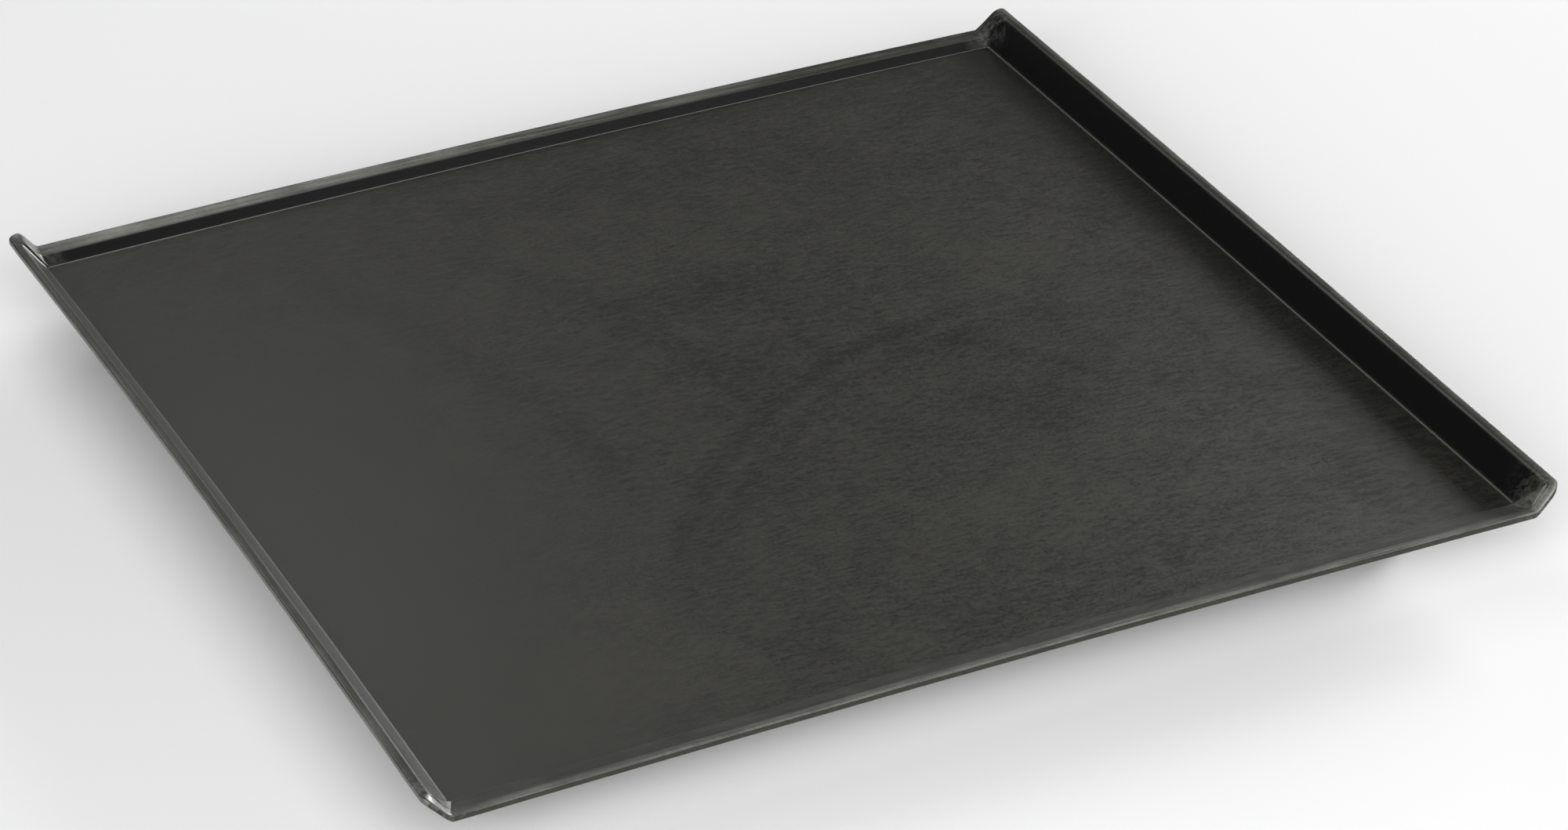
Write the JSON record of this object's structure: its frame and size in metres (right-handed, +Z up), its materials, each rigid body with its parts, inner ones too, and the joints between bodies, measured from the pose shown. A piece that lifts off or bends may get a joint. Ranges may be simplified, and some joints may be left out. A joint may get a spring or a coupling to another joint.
{
  "type": "seedling heat mat",
  "caption": "Rigid square heat mat: shallow black moulded tray with tall flared sides and low front and rear lips, over a screwed-on heater base with rubber feet.",
  "frame": {"origin": "on the ground under the centre of the mat, at the feet's lower faces", "axes": "+Z up; -Y is the front low lip, +Y the rear low lip with the cord gland under it; -X and +X are the two tall walls"},
  "size_m": [0.5092, 0.5068, 0.0423],
  "materials": {
    "black_rubber": "moulded rubber",
    "block_nylon": "moulded natural nylon",
    "brass": "turned or stamped brass",
    "cutout_case": "moulded phenolic",
    "earth_green": "green wire insulation",
    "fibre_compound": "semi-gloss moulded glass-fibre polyester",
    "foam_board": "cut extruded polystyrene foam",
    "gland_plastic": "moulded nylon",
    "live_brown": "brown wire insulation",
    "neutral_blue": "blue wire insulation",
    "pad_foam": "open foam rubber",
    "pan_plastic": "fine-textured moulded plastic",
    "sheet_aluminium": "mill finish sheet",
    "silicone_red": "satin silicone rubber",
    "tinned_copper": "tinned copper",
    "zinc_steel": "zinc plated"
  },
  "bodies": {
    "root": {"base_pan": "pan_plastic", "base_screw_1": "zinc_steel", "base_screw_2": "zinc_steel", "base_screw_3": "zinc_steel", "base_screw_4": "zinc_steel", "base_screw_5": "zinc_steel", "base_screw_6": "zinc_steel", "base_screw_7": "zinc_steel", "base_screw_8": "zinc_steel", "block_pad": "pad_foam", "cutout_lead": "live_brown", "cutout_pad": "pad_foam", "earth_lead": "earth_green", "earth_tab": "brass", "foot_front_left": "black_rubber", "foot_front_right": "black_rubber", "foot_rear_left": "black_rubber", "foot_rear_right": "black_rubber", "gland_body": "gland_plastic", "gland_dome_nut": "gland_plastic", "gland_locknut": "gland_plastic", "gland_seal": "black_rubber", "gland_washer": "black_rubber", "heat_spreader": "sheet_aluminium", "heating_cable": "silicone_red", "insulation_board": "foam_board", "live_lead": "live_brown", "live_splice": "tinned_copper", "neutral_lead": "neutral_blue", "neutral_splice": "tinned_copper", "perimeter_gasket": "black_rubber", "terminal_block": "block_nylon", "terminal_screw_1": "zinc_steel", "terminal_screw_2": "zinc_steel", "terminal_screw_3": "zinc_steel", "terminal_screw_4": "zinc_steel", "terminal_screw_5": "zinc_steel", "terminal_screw_6": "zinc_steel", "terminal_tube_earth": "brass", "terminal_tube_live": "brass", "terminal_tube_neutral": "brass", "thermal_cutout": "cutout_case", "upper_tray": "fibre_compound"}
  },
  "joints": []
}
